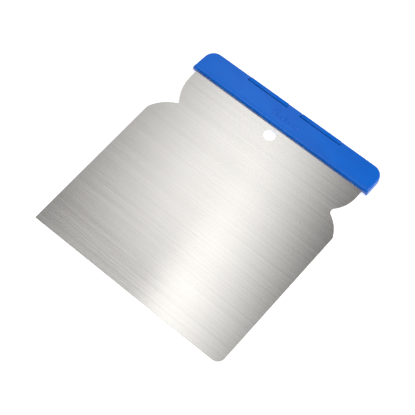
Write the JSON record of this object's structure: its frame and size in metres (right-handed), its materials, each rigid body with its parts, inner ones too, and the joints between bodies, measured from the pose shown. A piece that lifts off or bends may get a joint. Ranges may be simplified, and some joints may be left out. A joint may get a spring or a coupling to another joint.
{
  "type": "flat scraper",
  "caption": "Flat scraper: a thin waisted brushed-steel sheet with a straight working edge and a hanging hole, clamped in a low moulded plastic spine that serves as its grip",
  "frame": {"origin": "middle of the footprint of the part lying on its rear face, at the height of that face", "axes": "X along the working edge with the rounded corner at +X, +Y from the working edge to the spine, +Z out of the front face that carries the bead and the marks"},
  "size_m": [0.12, 0.1318, 0.0049],
  "materials": {
    "blade_steel": "fine grain parallel to the working edge, satin",
    "spine_plastic": "moulded, semi-gloss"
  },
  "bodies": {
    "root": {"blade": "blade_steel", "front_shell": "spine_plastic", "rear_shell": "spine_plastic"}
  },
  "joints": []
}
